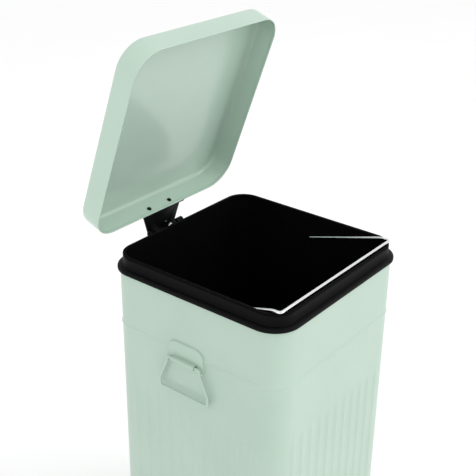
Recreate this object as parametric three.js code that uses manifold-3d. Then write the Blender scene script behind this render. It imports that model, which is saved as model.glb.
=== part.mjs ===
// Square step-on bin: fluted steel body, plastic top ring, lift-out bucket with a wire bail, steel lid on
// a rear hinge that a pedal opens through a push rod, and a drop handle on each side.
// Millimetres, +Z up. Origin: centre of the underside, on the floor. Front (pedal) is -Y, hinge is +Y.
// The lid is modelled shut and then turned open about its hinge, which is how the bin stands at rest.
import * as THREE from 'three';
import { mergeVertices } from 'three/addons/utils/BufferGeometryUtils.js';
import Module from 'manifold-3d';

const wasm = await Module();
wasm.setup();

// ---------- driving dimensions ----------
const gap = 0.3; // between pieces that touch
const height = 597; // floor to the bucket's lip
const bodyHalf = 146; // centre to the flat of the body wall
const bodyCornerRadius = 35.5;
const cornerSteps = 6; // facets in each corner arc
const sheet = 0.8; // body and lid steel
const beadDrop = 107; // bucket lip down to the swaged bead
const beadRise = 1.2;
const beadHalfWidth = 3.5;
const rib = { pitch: 21, half: 5, crest: 2.5, depth: 2, start: 192, full: 212 };

const flange = { overhang: 4, depth: 23, shoulder: 16.8 }; // top ring, outside the body
const upstand = { inset: 4, wall: 2.2 }; // top ring, under the bucket's lip
const bodyTopDrop = 20.5; // bucket lip down to the body's upper edge
const spigot = { wall: 1.7, depth: 13 }; // part of a plastic ring that fits inside the body

const bucket = { lip: 2.5, wall: 1.8, mouthInset: 8.6, bottomInset: 28.5, bottomRadius: 22, fillet: 8 };
const bucketFloorZ = 58;
const bailWire = 2; // radius
const bail = { armGap: 3.7, barInset: 2, pivotDrop: 35, cornerRadius: 6, level: 12, boss: 7, bossStand: 2 };

const baseRing = { height: 46, overhang: 3, wall: 2.5 };
const basePlate = 4;
const foot = { radius: 13, inset: 41, thickness: 2 };

const lid = { // its skirt stands this far inside the body's sides and outside its front and back
  sideInset: 0.5, frontProud: 3.5, cornerRadius: 40, skirt: 28, shoulder: 8, crown: 4, hem: 1.4, hemDepth: 4,
};
const lidRimDrop = 16; // bucket lip down to the rim of the shut lid
const lidSetBack = 1; // how far the lid's centre is forward of the body's
const openAngle = THREE.MathUtils.degToRad(70);

const hingeBehind = 33; // body wall to hinge axis
const hingeDrop = 24.6; // bucket lip down to hinge axis
const pinRadius = 2.5;
const runningGap = 0.4; // radial, round a turning pin
const crankReach = 13; // hinge axis to push rod
const crankSwing = openAngle / 2; // the crank swings this far to each side of level
const rodRadius = 2.5;

const pedal = { pivotY: 38, pivotZ: 22, drop: 4, halfX: 35, length: 44, thickness: 6, beyond: 3 };
const lever = { half: 9, sheet: 2, halfHeight: 3.5 };
const pedalPressed = THREE.MathUtils.degToRad(2.65);

const channel = { half: 14, depth: 24, sheet: 1.2, flange: 10, foot: 2.4 }; // push rod cover
const housing = { half: 17, wall: 2.5 }; // round the lever's rear end
const handle = { y: 6, drop: 119, standOff: 7, plateHalf: 31, plateUp: 26, plateDown: 8, sheet: 1.2 };
const grip = { topHalf: 29, straight: 7, flare: 30, bottomHalf: 42.5, bottom: 52, corner: 5, channelHalf: 20 };

// ---------- values worked out from them ----------
const cornerCentre = bodyHalf - bodyCornerRadius;
const bodyTop = height - bodyTopDrop;
const bodyBottom = baseRing.height + gap;
const upstandHalf = bodyHalf - upstand.inset;
const hinge = new THREE.Vector3(0, bodyHalf + hingeBehind, height - hingeDrop);
const rodY = hinge.y - crankReach;
const rodTop = hinge.z + crankReach * Math.tan(crankSwing);
const lidRimZ = height - lidRimDrop;
const lidHalfX = bodyHalf - lid.sideInset;
const lidHalfY = bodyHalf + lid.frontProud;
const bucketBottomHalf = bodyHalf - bucket.bottomInset;
const leverBack = rodY - pedal.pivotY;
const pedalFront = bodyHalf + baseRing.overhang + pedal.beyond + pedal.length;

// ---------- materials ----------
const paint = new THREE.MeshStandardMaterial({ color: 0xbcd2c4, roughness: 0.38, metalness: 0.0 });
const blackPlastic = new THREE.MeshStandardMaterial({ color: 0x0a0a0b, roughness: 0.45, metalness: 0.0 });
const steel = new THREE.MeshStandardMaterial({ color: 0xc9ccd0, roughness: 0.22, metalness: 1.0 });
const blackSteel = new THREE.MeshStandardMaterial({ color: 0x101112, roughness: 0.5, metalness: 0.4 });
const rubber = new THREE.MeshStandardMaterial({ color: 0x161616, roughness: 0.85, metalness: 0.0 });

// ---------- geometry helpers ----------

// A level rounded rectangle, counter-clockwise seen from above.
function roundedRing(halfX, halfY, radius, z, steps = cornerSteps) {
  const points = [];
  const corners = [[1, 1], [-1, 1], [-1, -1], [1, -1]];
  corners.forEach(([sx, sy], quarter) => {
    for (let i = 0; i <= steps; i++) {
      const angle = (quarter + i / steps) * Math.PI / 2;
      const x = sx * (halfX - radius) + radius * Math.cos(angle);
      const y = sy * (halfY - radius) + radius * Math.sin(angle);
      points.push(new THREE.Vector3(x, y, z));
    }
  });
  return points;
}

// A square ring whose corner arcs share the body's corner centres.
const squareRing = (half, z) => roundedRing(half, half, half - cornerCentre, z);

// Joins rings of equal count into one closed skin. A loop joins its last ring to its first;
// otherwise both ends are closed by flat or crowned caps about a centre point.
function skin(rings, loop = false) {
  const count = rings[0].length;
  const positions = rings.flat().flatMap((p) => p.toArray());
  const index = [];
  const bands = loop ? rings.length : rings.length - 1;
  for (let band = 0; band < bands; band++) {
    const low = band * count;
    const high = ((band + 1) % rings.length) * count;
    for (let i = 0; i < count; i++) {
      const next = (i + 1) % count;
      index.push(low + i, low + next, high + next, low + i, high + next, high + i);
    }
  }
  if (!loop) {
    for (const [ring, downward] of [[0, true], [rings.length - 1, false]]) {
      const centre = rings[ring].reduce((sum, p) => sum.add(p), new THREE.Vector3()).divideScalar(count);
      const apex = positions.length / 3;
      positions.push(...centre.toArray());
      for (let i = 0; i < count; i++) {
        const here = ring * count + i;
        const next = ring * count + (i + 1) % count;
        index.push(...(downward ? [apex, next, here] : [apex, here, next]));
      }
    }
  }
  const geometry = new THREE.BufferGeometry();
  geometry.setAttribute('position', new THREE.Float32BufferAttribute(positions, 3));
  geometry.setIndex(index);
  return geometry;
}

function toSolid(geometry) {
  const bare = geometry.clone();
  bare.deleteAttribute('normal');
  bare.deleteAttribute('uv');
  const merged = mergeVertices(bare, 1e-4);
  const vertProperties = new Float32Array(merged.attributes.position.array);
  const triVerts = new Uint32Array(merged.index.array);
  return new wasm.Manifold(new wasm.Mesh({ numProp: 3, vertProperties, triVerts }));
}

function toGeometry(solid) {
  const mesh = solid.getMesh();
  const geometry = new THREE.BufferGeometry();
  geometry.setAttribute('position', new THREE.BufferAttribute(mesh.vertProperties, 3));
  geometry.setIndex(new THREE.BufferAttribute(mesh.triVerts, 1));
  return geometry;
}

// Adds the geometries in `joined` and takes away those in `cut`.
function carve(joined, cut = []) {
  let solid = joined.map(toSolid).reduce((a, b) => a.add(b));
  for (const piece of cut) {
    solid = solid.subtract(toSolid(piece));
  }
  return toGeometry(solid);
}

// A box from its low and high corners.
function block(x0, x1, y0, y1, z0, z1) {
  const box = new THREE.BoxGeometry(x1 - x0, y1 - y0, z1 - z0);
  return box.translate((x0 + x1) / 2, (y0 + y1) / 2, (z0 + z1) / 2);
}

// Round bars along X and Y.
function barX(radius, x0, x1, y, z, sides = 16) {
  const bar = new THREE.CylinderGeometry(radius, radius, x1 - x0, sides).rotateZ(Math.PI / 2);
  return bar.translate((x0 + x1) / 2, y, z);
}

function barY(radius, y0, y1, x, z, sides = 12) {
  return new THREE.CylinderGeometry(radius, radius, y1 - y0, sides).translate(x, (y0 + y1) / 2, z);
}

function barZ(radius, z0, z1, x, y, sides = 20) {
  return new THREE.CylinderGeometry(radius, radius, z1 - z0, sides)
    .rotateX(Math.PI / 2).translate(x, y, (z0 + z1) / 2);
}

// A flat plate in the YZ plane from an outline of [y, z] points, thick from x0 to x1.
function plateYZ(outline, x0, x1) {
  const shape = new THREE.Shape(outline.map(([y, z]) => new THREE.Vector2(y, z)));
  return stand(shape, x0, x1);
}

// Stands a shape drawn in (y, z) upright and gives it thickness along X.
function stand(shape, x0, x1, curveSegments = 8) {
  const slab = new THREE.ExtrudeGeometry(shape, { depth: x1 - x0, bevelEnabled: false, curveSegments });
  const turn = new THREE.Matrix4().makeBasis(
    new THREE.Vector3(0, 1, 0), new THREE.Vector3(0, 0, 1), new THREE.Vector3(1, 0, 0));
  return slab.applyMatrix4(turn).translate(x0, 0, 0);
}

// The route of a bent wire: straight runs between corners, each corner an arc of its radius in `radii`.
class BentWire extends THREE.Curve {
  constructor(corners, radii, arcSteps) {
    super();
    this.stations = [corners[0]];
    for (let i = 1; i < corners.length - 1; i++) {
      this.stations.push(...BentWire.bend(corners[i - 1], corners[i], corners[i + 1], radii[i], arcSteps));
    }
    this.stations.push(corners[corners.length - 1]);
  }

  static bend(before, corner, after, radius, arcSteps) {
    const into = corner.clone().sub(before).normalize();
    const out = after.clone().sub(corner).normalize();
    const angle = into.angleTo(out);
    const reach = Math.min(radius * Math.tan(angle / 2), 0.48 * Math.min(
      corner.distanceTo(before), corner.distanceTo(after)));
    const start = corner.clone().addScaledVector(into, -reach);
    const end = corner.clone().addScaledVector(out, reach);
    const arc = new THREE.QuadraticBezierCurve3(start, corner, end);
    return arc.getPoints(arcSteps);
  }

  getPoint(u) {
    const along = u * (this.stations.length - 1);
    const i = Math.min(Math.floor(along), this.stations.length - 2);
    return this.stations[i].clone().lerp(this.stations[i + 1], along - i);
  }

  getPointAt(u) {
    return this.getPoint(u);
  }

  getTangentAt(u) {
    const last = this.stations.length - 1;
    const i = Math.round(u * last);
    const ahead = this.stations[Math.min(i + 1, last)].clone().sub(this.stations[Math.min(i, last - 1)]);
    const behind = this.stations[Math.max(i, 1)].clone().sub(this.stations[Math.max(i - 1, 0)]);
    return ahead.normalize().add(behind.normalize()).normalize();
  }

  solidOf(wireRadius, sides = 10) {
    const section = new THREE.Shape(new THREE.EllipseCurve(0, 0, wireRadius, wireRadius).getPoints(sides).slice(1));
    return new THREE.ExtrudeGeometry(section, { extrudePath: this, steps: this.stations.length - 1 });
  }
}

function named(name, geometry, material) {
  const mesh = new THREE.Mesh(geometry, material);
  mesh.name = name;
  return mesh;
}

// ---------- body and its plastic rings ----------

// One level ring of the body wall. The flutes stand out by `rise`; the corners stay plain.
function flutedRing(half, z, rise) {
  const radius = half - cornerCentre;
  const reach = Math.floor((cornerCentre - rib.half) / rib.pitch);
  const face = [];
  for (let k = -reach; k <= reach; k++) {
    const u = k * rib.pitch;
    face.push([u - rib.half, 0], [u - rib.crest, rise], [u + rib.crest, rise], [u + rib.half, 0]);
  }
  const points = [];
  for (let side = 0; side < 4; side++) {
    const turn = side * Math.PI / 2;
    const local = face.map(([u, out]) => new THREE.Vector3(half + out, u, z));
    for (let i = 0; i <= cornerSteps; i++) {
      const angle = i / cornerSteps * Math.PI / 2;
      local.push(new THREE.Vector3(
        cornerCentre + radius * Math.cos(angle), cornerCentre + radius * Math.sin(angle), z));
    }
    points.push(...local.map((p) => p.applyAxisAngle(new THREE.Vector3(0, 0, 1), turn)));
  }
  return points;
}

function outerBody() {
  const beadZ = height - beadDrop;
  const levels = [ // height, flute rise, bead rise
    [bodyBottom, rib.depth, 0],
    [height - rib.full, rib.depth, 0],
    [height - rib.start, 0, 0],
    [beadZ - beadHalfWidth, 0, 0],
    [beadZ, 0, beadRise],
    [beadZ + beadHalfWidth, 0, 0],
    [bodyTop, 0, 0],
  ];
  const outside = levels.map(([z, rise, bead]) => flutedRing(bodyHalf + bead, z, rise));
  const inside = levels.map(([z, rise, bead]) => flutedRing(bodyHalf - sheet + bead, z, rise)).reverse();
  return named('outer_body', skin([...outside, ...inside], true), paint);
}

function topCollar() {
  const outer = bodyHalf + flange.overhang;
  const seat = height - bucket.lip - gap; // upper edge of the upstand
  const slotOut = bodyHalf + gap;
  const slotIn = bodyHalf - sheet - gap;
  const slotTop = bodyTop + gap;
  const bottom = height - flange.depth;
  const inner = upstandHalf - upstand.wall;
  const shoulder = height - flange.shoulder;
  const profile = [
    [outer, bottom],
    [outer, shoulder - 4.2],
    [outer - 0.5, shoulder - 2.4],
    [outer - 2, shoulder - 0.9],
    [outer - 4.5, shoulder],
    [upstandHalf + 0.8, shoulder + 0.2],
    [upstandHalf + 0.3, shoulder + 1.6],
    [upstandHalf, shoulder + 7],
    [upstandHalf, seat],
    [inner, seat],
    [inner, shoulder + 1.5],
    [slotIn - spigot.wall, slotTop - 0.6],
    [slotIn - spigot.wall, slotTop - spigot.depth],
    [slotIn, slotTop - spigot.depth],
    [slotIn, slotTop],
    [slotOut, slotTop],
    [slotOut, bottom],
  ];
  return named('top_collar', skin(profile.map(([half, z]) => squareRing(half, z)), true), blackPlastic);
}

function baseRingMesh() {
  const outer = bodyHalf + baseRing.overhang;
  const inner = outer - baseRing.wall;
  const spigotOut = bodyHalf - sheet - gap;
  const spigotIn = spigotOut - spigot.wall;
  const top = baseRing.height;
  const profile = [
    [outer, 0], [outer, top - 2], [outer - 1, top], [spigotOut, top], [spigotOut, top + spigot.depth],
    [spigotIn, top + spigot.depth], [spigotIn, top - baseRing.wall], [inner, top - baseRing.wall - 1.5],
    [inner, 0],
  ];
  const ring = skin(profile.map(([half, z]) => squareRing(half, z)), true);
  const pedalSlot = block(-lever.half - 3, lever.half + 3, -outer - 1, -inner + 1, basePlate + gap, top - 5);
  const leverSlot = block(-housing.half + housing.wall, housing.half - housing.wall, inner - 1, outer + 1,
    basePlate + gap, top - housing.wall);
  return named('base_ring', carve([ring], [pedalSlot, leverSlot]), blackPlastic);
}

// Plastic box behind the base ring, round the lever's rear end. It is open towards the ring and below,
// and the rod cover stands on it.
function leverHousing() {
  const { half, wall } = housing;
  const front = bodyHalf + baseRing.overhang + gap;
  const back = bodyHalf + channel.foot + channel.depth + wall;
  const top = baseRing.height;
  const box = block(-half, half, front, back, 0, top);
  const inside = block(-half + wall, half - wall, front - 1, back - wall, -1, top - wall);
  const rodHole = block(-6, 6, rodY - 6, rodY + 6, top - 5, top + 1);
  return named('lever_housing', carve([box], [inside, rodHole]), blackPlastic);
}

function footCentres() {
  const reach = bodyHalf - foot.inset;
  return [[-reach, -reach], [reach, -reach], [-reach, reach], [reach, reach]];
}

function basePlateMesh() {
  const half = bodyHalf + baseRing.overhang - baseRing.wall - gap;
  const plate = skin([squareRing(half, 0), squareRing(half, basePlate)]);
  const pockets = footCentres().map(([x, y]) => barZ(foot.radius + gap, -1, foot.thickness + gap, x, y));
  return named('base_plate', carve([plate], pockets), blackPlastic);
}

function feet() {
  return footCentres().map(([x, y], i) =>
    named(`rubber_foot_${i + 1}`, barZ(foot.radius, 0, foot.thickness, x, y), rubber));
}

// ---------- bucket and its bail ----------

const mouthHalf = bodyHalf - bucket.mouthInset;
const wallTop = height - bucket.lip;
const bucketTopHalf = mouthHalf + bucket.wall;
const bucketSlope = (bucketTopHalf - bucketBottomHalf) / (wallTop - bucketFloorZ - bucket.fillet);
const bucketHalfAt = (z) => bucketBottomHalf + bucketSlope * (z - bucketFloorZ - bucket.fillet);
const bailPivotZ = height - bail.pivotDrop;
const bailArmX = mouthHalf - bail.armGap - bailWire;

function innerBucket() {
  const topRadius = bucketTopHalf - cornerCentre;
  const base = bucketBottomHalf;
  const f = bucket.fillet;
  const wall = bucket.wall;
  const ring = (half, radius, z) => roundedRing(half, half, radius, z);
  const rings = [
    ring(base - f, bucket.bottomRadius - f, bucketFloorZ),
    ring(base - 0.3 * f, bucket.bottomRadius - 0.3 * f, bucketFloorZ + 0.3 * f),
    ring(base, bucket.bottomRadius, bucketFloorZ + f),
    ring(bucketTopHalf, topRadius, wallTop),
    ring(upstandHalf, upstandHalf - cornerCentre, wallTop),
    ring(upstandHalf, upstandHalf - cornerCentre, height - 0.6),
    ring(upstandHalf - 0.6, upstandHalf - 0.6 - cornerCentre, height),
    ring(mouthHalf + 0.6, mouthHalf + 0.6 - cornerCentre, height),
    ring(mouthHalf, mouthHalf - cornerCentre, height - 0.8),
    ring(base - wall, bucket.bottomRadius - wall, bucketFloorZ + f),
    ring(base - wall - 0.3 * f, bucket.bottomRadius - wall - 0.3 * f, bucketFloorZ + wall + 0.3 * f),
    ring(base - wall - f, bucket.bottomRadius - wall - f, bucketFloorZ + wall),
  ];
  const inside = bucketHalfAt(bailPivotZ) - wall;
  const bosses = [];
  const holes = [];
  for (const side of [-1, 1]) {
    const ends = [side * (inside - bail.bossStand), side * (inside + wall / 2)].sort((a, b) => a - b);
    bosses.push(barX(bail.boss, ...ends, 0, bailPivotZ));
    const through = [side * (inside - 6), side * (inside + 6)].sort((a, b) => a - b);
    holes.push(barX(bailWire + runningGap, ...through, 0, bailPivotZ));
  }
  return named('inner_bucket', carve([skin(rings), ...bosses], holes), blackPlastic);
}

// Rests on the lip at the bucket's front corners; its ends turn out into bosses on the side walls.
function bucketBail() {
  const level = height + bailWire + gap;
  const front = -(mouthHalf - bail.barInset);
  const endX = bucketHalfAt(bailPivotZ) - bucket.wall;
  const half = [
    new THREE.Vector3(endX, 0, bailPivotZ),
    new THREE.Vector3(bailArmX, 0, bailPivotZ),
    new THREE.Vector3(bailArmX, front + bail.level, level),
    new THREE.Vector3(bailArmX, front, level),
  ];
  const mirrored = half.map((p) => new THREE.Vector3(-p.x, p.y, p.z)).reverse();
  const radii = [0, bailWire + 0.3, 20, bail.cornerRadius];
  const route = new BentWire([...half, ...mirrored], [...radii, ...radii.slice().reverse()], 4);
  return named('bucket_bail', route.solidOf(bailWire), steel);
}

// ---------- lid, hinge and damper ----------

// Modelled shut, about the hinge axis.
function lidShell() {
  const t = sheet;
  const top = lidRimZ + lid.skirt + lid.shoulder;
  const ring = (inset, z) => roundedRing(
    lidHalfX - inset, lidHalfY - inset, Math.max(lid.cornerRadius - inset, 6), z);
  const shoulder = (thick, i) => {
    const angle = i / 4 * Math.PI / 2;
    const r = lid.shoulder;
    const inset = r - (r - thick) * Math.cos(angle);
    return ring(inset, top - r + (r - thick) * Math.sin(angle));
  };
  const crown = (inset, thick) => {
    const across = (inset - lid.shoulder) / (lidHalfX - lid.shoulder);
    return ring(inset, top - thick + lid.crown * (1 - (1 - across) ** 2));
  };
  const hemTop = lidRimZ + lid.hemDepth;
  const rings = [
    crown(110, t), crown(70, t), crown(40, t),
    shoulder(t, 4), shoulder(t, 3), shoulder(t, 2), shoulder(t, 1), shoulder(t, 0),
    ring(t, hemTop + 1), ring(t + lid.hem, hemTop), ring(t + lid.hem, lidRimZ + 0.8), ring(t, lidRimZ),
    ring(0.4, lidRimZ), ring(0, lidRimZ + 0.6),
    shoulder(0, 0), shoulder(0, 1), shoulder(0, 2), shoulder(0, 3), shoulder(0, 4),
    crown(40, 0), crown(70, 0), crown(110, 0),
  ];
  const shell = skin(rings).translate(0, -lidSetBack, 0);
  const holes = lidScrewPlaces().map(([x, z]) => barY(2.3, bodyHalf - 12, bodyHalf + 6, x, z));
  return carve([shell], holes).translate(0, -hinge.y, -hinge.z);
}

const lidRearFace = lidHalfY - lidSetBack;
const bracketPlate = { left: 38, right: 47, thick: 2.2, low: 0.5, high: 14 };

function lidScrewPlaces() {
  return [[-22, lidRimZ + 10.4], [22, lidRimZ + 10.4]];
}

// Plate on the lid's rear skirt, web behind the pin, two ears round the pin and the slotted crank.
// Modelled open, about the hinge axis; only its plate is placed shut and then turned.
function lidBracket() {
  const toOpen = new THREE.Matrix4().makeRotationX(-openAngle);
  const back = lidRearFace + gap;
  const shut = (piece) => piece.translate(0, -hinge.y, -hinge.z).applyMatrix4(toOpen);
  const plate = shut(block(-bracketPlate.left, bracketPlate.right, back, back + bracketPlate.thick,
    lidRimZ + bracketPlate.low, lidRimZ + bracketPlate.high));
  const screwHoles = lidScrewPlaces().map(([x, z]) => shut(barY(2.3, back - 2, back + 6, x, z)));
  const webShape = new THREE.Shape();
  const webTop = hingeDrop + 9.3;
  webShape.moveTo(-24, -14);
  webShape.lineTo(24, -14);
  webShape.lineTo(bracketPlate.right, webTop);
  webShape.lineTo(-bracketPlate.left, webTop);
  const webFront = pinRadius + 2.7;
  const web = new THREE.ExtrudeGeometry(webShape, { depth: 2.2, bevelEnabled: false })
    .rotateX(Math.PI / 2).translate(0, webFront + 2.2, 0);
  const earRadius = 6.5;
  const ear = (x0, x1) => [
    barX(earRadius, x0, x1, 0, 0), block(x0, x1, 0, webFront + 1, -earRadius, earRadius)];
  const lean = new THREE.Matrix4().makeRotationX(-crankSwing);
  const reach = crankReach / Math.cos(crankSwing);
  const slotHalf = rodRadius + 0.9;
  const crankOutline = [[0, -earRadius], [0, earRadius], [-reach - 3, slotHalf + 2.5],
    [-reach - slotHalf - 2.5, 1.5], [-reach - slotHalf - 2.5, -1.5], [-reach - 3, -slotHalf - 2.5]];
  const crank = plateYZ(crankOutline.reverse(), 4, 7).applyMatrix4(lean);
  const slot = [
    barX(slotHalf, 3, 8, -crankReach, 0), barX(slotHalf, 3, 8, -reach, 0),
    block(3, 8, -reach, -crankReach, -slotHalf, slotHalf),
  ].map((piece) => piece.applyMatrix4(lean));
  const bore = barX(pinRadius + runningGap, -45, 45, 0, 0);
  const windows = [[-25, 0.5], [9.5, 2], [11.5, 3.2], [13.5, 4.4], [17.5, 2.5]].map(
    ([x, z]) => barY(1.5, webFront - 2, webFront + 5, x, z));
  return carve([plate, web, ...ear(-22.5, -20), ...ear(20, 22.5), ...ear(4, 7), crank],
    [bore, ...slot, ...screwHoles, ...windows]);
}

function lidScrew(x, z) {
  const inner = lidRearFace - sheet;
  const head = barY(3.4, inner - gap - 1.6, inner - gap, x, z);
  const shank = barY(1.9, inner - gap - 0.5, lidRearFace + gap + bracketPlate.thick + 1.5, x, z);
  return carve([head, shank]).translate(0, -hinge.y, -hinge.z);
}

function lidGroup() {
  const swing = new THREE.Group();
  swing.position.copy(hinge);
  const shell = named('lid_shell', lidShell(), paint);
  shell.rotation.x = -openAngle;
  swing.add(shell);
  swing.add(named('lid_bracket', lidBracket(), blackSteel));
  lidScrewPlaces().forEach(([x, z], i) => {
    const screw = named(`lid_screw_${i + 1}`, lidScrew(x, z), blackSteel);
    screw.rotation.x = -openAngle;
    swing.add(screw);
  });
  swing.add(named('hinge_pin', barX(pinRadius, -34, 39, 0, 0), blackSteel));
  return swing;
}

const earX = [28, 31];
const earRound = pinRadius + 2.1;
const basePlateBack = bodyHalf + gap;
const hingeBasePlate = { half: 46, thick: 3, drop: 77 };

function hingeScrewPlaces() {
  const places = [];
  for (const x of [-38, 38]) {
    for (const drop of [37, 67]) {
      places.push([x, height - drop]);
    }
  }
  return places;
}

function hingeBase() {
  const back = basePlateBack;
  const face = back + hingeBasePlate.thick;
  const top = height - flange.depth - 1;
  const plate = block(-hingeBasePlate.half, hingeBasePlate.half, back, face, height - hingeBasePlate.drop, top);
  const ears = [];
  for (const side of [-1, 1]) {
    const [x0, x1] = [side * earX[0], side * earX[1]].sort((a, b) => a - b);
    const outline = [[face - 1, top - 32], [hinge.y + 2.5, hinge.z - 4.3], [hinge.y, hinge.z + 4.8],
      [hinge.y - 5, hinge.z + 3], [face - 1, top]];
    ears.push(plateYZ(outline, x0, x1), barX(earRound, x0, x1, hinge.y, hinge.z));
  }
  const bore = barX(pinRadius + runningGap, -60, 60, hinge.y, hinge.z);
  const screwHoles = hingeScrewPlaces().map(([x, z]) => barY(2.3, back - 1, face + 1, x, z));
  return named('hinge_base', carve([plate, ...ears], [bore, ...screwHoles]), blackSteel);
}

function panScrew(name, x, z, face, shankEnd) {
  const head = barY(3.6, face + gap, face + gap + 2, x, z);
  const shank = barY(1.9, shankEnd, face + gap + 1, x, z);
  return named(name, carve([head, shank]), steel);
}

function hingeScrews() {
  const face = basePlateBack + hingeBasePlate.thick;
  return hingeScrewPlaces().map(([x, z], i) =>
    panScrew(`hinge_base_screw_${i + 1}`, x, z, face, basePlateBack + 0.2));
}

// Rotary damper that slows the lid: its drum is fixed to the right ear, round the end of the pin.
function damperHousing() {
  const start = earX[1] + gap;
  const drum = barX(earRound, start, start + 10, hinge.y, hinge.z, 20);
  const tab = block(start, start + 2.5, hinge.y - 16, hinge.y, hinge.z - 4, hinge.z + 2);
  const bore = barX(pinRadius + runningGap, start - 1, start + 8.5, hinge.y, hinge.z);
  return named('lid_damper', carve([drum, tab], [bore]), blackPlastic);
}

// ---------- push rod and its cover ----------

// Hooks into the crank's slot at the top and the lever's cheek at the bottom, both towards +X.
function pushRod() {
  const bottom = pedal.pivotZ + leverBack * Math.sin(pedalPressed);
  const corners = [
    new THREE.Vector3(9.5, rodY, rodTop),
    new THREE.Vector3(0, rodY, rodTop),
    new THREE.Vector3(0, rodY, bottom),
    new THREE.Vector3(lever.half + 2.5, rodY, bottom),
  ];
  return named('push_rod', new BentWire(corners, corners.map(() => 2.8), 3).solidOf(rodRadius, 8), steel);
}

const coverBack = bodyHalf + channel.foot;
const coverTop = height - hingeBasePlate.drop - 1;
const coverBottom = baseRing.height + gap;

function coverScrewPlaces() {
  const x = channel.half + channel.flange / 2;
  return [[-x, coverBottom + 34], [x, coverBottom + 34], [-x, coverTop - 40], [x, coverTop - 40]];
}

function rodCover() {
  const { half, depth, sheet: t, flange: wide } = channel;
  const back = coverBack;
  const outline = [[half + wide, back], [half + wide, back + t], [half, back + t], [half, back + depth - 3],
    [half - 3, back + depth], [-half + 3, back + depth], [-half, back + depth - 3], [-half, back + t],
    [-half - wide, back + t], [-half - wide, back], [-half + t, back], [-half + t, back + depth - 3.5],
    [-half + 3.5, back + depth - t], [half - 3.5, back + depth - t], [half - t, back + depth - 3.5],
    [half - t, back]];
  const shape = new THREE.Shape(outline.map(([x, y]) => new THREE.Vector2(x, y)));
  const length = coverTop - coverBottom;
  const cover = new THREE.ExtrudeGeometry(shape, { depth: length, bevelEnabled: false })
    .translate(0, 0, coverBottom);
  const holes = coverScrewPlaces().map(([x, z]) => barY(2.3, back - 1, back + t + 1, x, z));
  return named('rod_cover', carve([cover], holes), paint);
}

function coverScrews() {
  return coverScrewPlaces().map(([x, z], i) =>
    panScrew(`cover_screw_${i + 1}`, x, z, coverBack + channel.sheet, coverBack + 0.1));
}

// Plastic plug in the top of the cover that keeps the rod upright.
function rodGuide() {
  const half = channel.half - channel.sheet - gap;
  const low = coverTop - 14;
  const plug = block(-half, half, coverBack + 1, coverBack + channel.depth - channel.sheet - 3.5, low, coverTop + 2);
  return named('rod_guide', carve([plug], [barZ(rodRadius + runningGap, low - 1, coverTop + 3, 0, rodY, 12)]),
    blackPlastic);
}

// ---------- pedal ----------

// Modelled level, about its pivot: a channel-section lever, open at the rear for the rod.
function pedalLever() {
  const { half, sheet: t, halfHeight: h } = lever;
  const front = -(pedalFront + pedal.pivotY) + 2;
  const stepY = front + 95;
  const cheek = [[leverBack + 4.8, -h], [leverBack + 4.8, h], [stepY + 18, h], [stepY, h - pedal.drop],
    [front, h - pedal.drop], [front, -h - pedal.drop + 3], [stepY, -h - pedal.drop], [stepY + 18, -h]];
  const web = [[leverBack - 10, h - t], [leverBack - 10, h], [stepY + 18, h], [stepY, h - pedal.drop],
    [front, h - pedal.drop], [front, h - t - pedal.drop], [stepY, h - t - pedal.drop], [stepY + 18, h - t]];
  const cheeks = [[-half, -half + t], [half - t, half]].map(([x0, x1]) => plateYZ(cheek.slice().reverse(), x0, x1));
  const eyes = [[-half, -half + t], [half - t, half]].flatMap(([x0, x1]) => [
    barX(6, x0, x1, 0, 0), barX(rodRadius + 2.6, x0, x1, leverBack, 0)]);
  const bore = barX(pinRadius + runningGap, -half - 1, half + 1, 0, 0);
  const rodHole = barX(rodRadius + 0.8, -half - 1, half + 1, leverBack, 0);
  return carve([...cheeks, plateYZ(web.slice().reverse(), -half + t / 2, half - t / 2), ...eyes], [bore, rodHole]);
}

function pedalPad() {
  const front = -(pedalFront + pedal.pivotY);
  const low = lever.halfHeight - pedal.drop + gap;
  const centre = front + pedal.length / 2;
  const ring = (inset, z) => roundedRing(pedal.halfX - inset, pedal.length / 2 - inset, 8 - inset, z, 4);
  return skin([ring(1, low), ring(0, low + 1), ring(0, low + pedal.thickness - 1.5),
    ring(1.5, low + pedal.thickness)]).translate(0, centre, 0);
}

function pedalGroup() {
  const group = new THREE.Group();
  group.position.set(0, pedal.pivotY, pedal.pivotZ);
  group.rotation.x = pedalPressed;
  group.add(named('pedal_lever', pedalLever(), blackSteel));
  group.add(named('pedal_pad', pedalPad(), blackPlastic));
  return group;
}

const bracketEar = [lever.half + 1, lever.half + 3];

function pivotBracket() {
  const floor = basePlate + gap;
  const { pivotY: y, pivotZ: z } = pedal;
  const foundation = block(-24, 24, y - 10, y + 10, floor, floor + 2);
  const ears = [-1, 1].flatMap((side) => {
    const [x0, x1] = bracketEar.map((x) => side * x).sort((a, b) => a - b);
    return [block(x0, x1, y - 7, y + 7, floor + 1, z), barX(7, x0, x1, y, z)];
  });
  const bore = barX(pinRadius + gap, -20, 20, y, z);
  return named('pivot_bracket', carve([foundation, ...ears], [bore]), steel);
}

function pivotPin() {
  const { pivotY: y, pivotZ: z } = pedal;
  const [, outer] = bracketEar;
  const head = barX(4.5, -outer - gap - 2, -outer - gap, y, z);
  const shank = barX(pinRadius, -outer - gap - 1, outer + 3.5, y, z);
  return named('pivot_pin', carve([head, shank]), steel);
}

function pinClip() {
  const { pivotY: y, pivotZ: z } = pedal;
  const start = bracketEar[1] + gap;
  const disc = barX(5.2, start, start + 1.2, y, z);
  const hole = barX(pinRadius + gap, start - 1, start + 3, y, z);
  return named('pin_clip', carve([disc], [hole]), steel);
}

// ---------- side handles, modelled on the left and turned round for the right ----------

const gripZ = height - handle.drop;
const gripX = -(bodyHalf + handle.standOff);
const plateBack = -(bodyHalf + beadRise + gap);

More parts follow.
